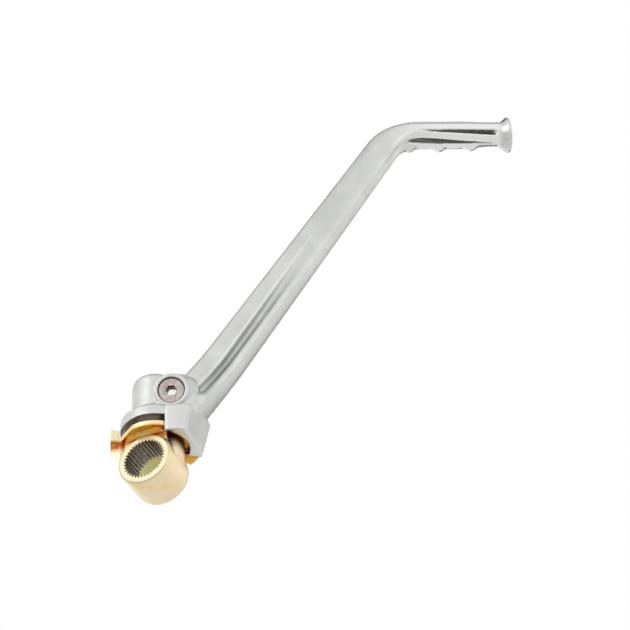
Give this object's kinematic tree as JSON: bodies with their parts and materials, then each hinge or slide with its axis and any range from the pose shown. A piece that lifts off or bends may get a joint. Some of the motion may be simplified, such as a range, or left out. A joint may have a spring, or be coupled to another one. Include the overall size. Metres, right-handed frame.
{
  "type": "kick start lever",
  "caption": "Folding kick start lever: a grooved forged arm with a ribbed foot pedal swings out on a splined knuckle between stop lugs.",
  "frame": {"origin": "centre of the splined bore on the knuckle's near face, the face turned away from the engine", "axes": "+Y runs along the splined bore towards the engine, +Z is the swivel axis from the barrel to the hub, +X points to the pedal's side when the lever is folded"},
  "size_m": [0.1842, 0.0814, 0.208],
  "materials": {
    "zinc_plated_steel": "yellow zinc plated, satin",
    "forged_aluminium": "tumbled satin",
    "screw_steel": "plain steel, slightly stained",
    "spring_steel": "drawn wire",
    "ball_steel": "polished",
    "seal_rubber": "matt"
  },
  "bodies": {
    "knuckle": {"knuckle": "zinc_plated_steel"},
    "lever": {"lever": "forged_aluminium", "lock_screw": "screw_steel", "detent_spring": "spring_steel", "stud_seal": "seal_rubber"},
    "ball": {"detent_ball": "ball_steel"}
  },
  "joints": [
    {"name": "lever_swivel", "type": "hinge", "parent": "knuckle", "child": "lever", "pos_m": [0, 0.009, 0], "axis": [0, 0, 1], "range_deg": [-95, 0]},
    {"name": "detent_slide", "type": "slide", "parent": "lever", "child": "ball", "axis": [0, 0, 1], "range_m": [-0.0004, 0], "stiffness_N_per_m": 800, "springref_m": -0.002, "deforming": ["detent_spring"]}
  ]
}
